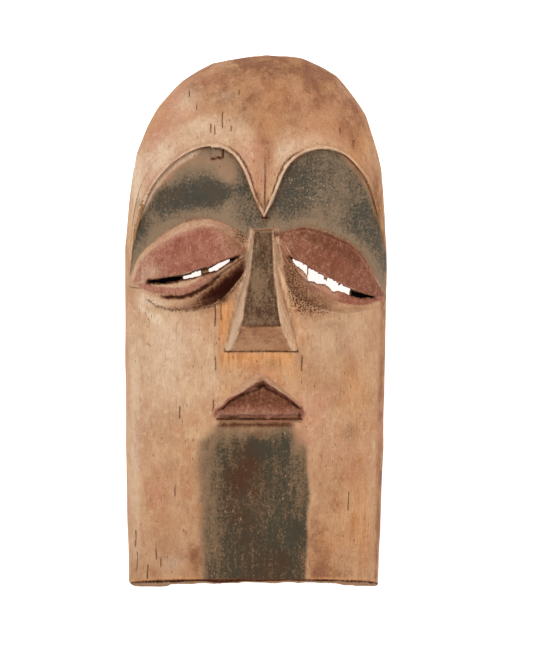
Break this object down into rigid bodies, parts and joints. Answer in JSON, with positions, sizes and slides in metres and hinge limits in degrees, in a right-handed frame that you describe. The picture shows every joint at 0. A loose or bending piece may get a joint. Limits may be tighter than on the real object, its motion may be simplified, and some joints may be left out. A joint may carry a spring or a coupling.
{
  "type": "miniature mask",
  "caption": "Long carved wooden face mask with a rounded crown, arched brow hollows, drooping slit eyes, wedge nose and gabled mouth, hollow behind and open at the chin.",
  "frame": {"origin": "on the plane of the back rim that the mask lies on, under the middle of its outline", "axes": "+X to the viewer's right, +Y towards the crown, +Z out of the face"},
  "size_m": [0.1084, 0.22, 0.0465],
  "materials": {
    "painted_wood": "pale hand-cut wood, worn and dry, with thin rubbed pigment in grey-black and red-brown"
  },
  "bodies": {
    "root": {"mask": "painted_wood"}
  },
  "joints": []
}
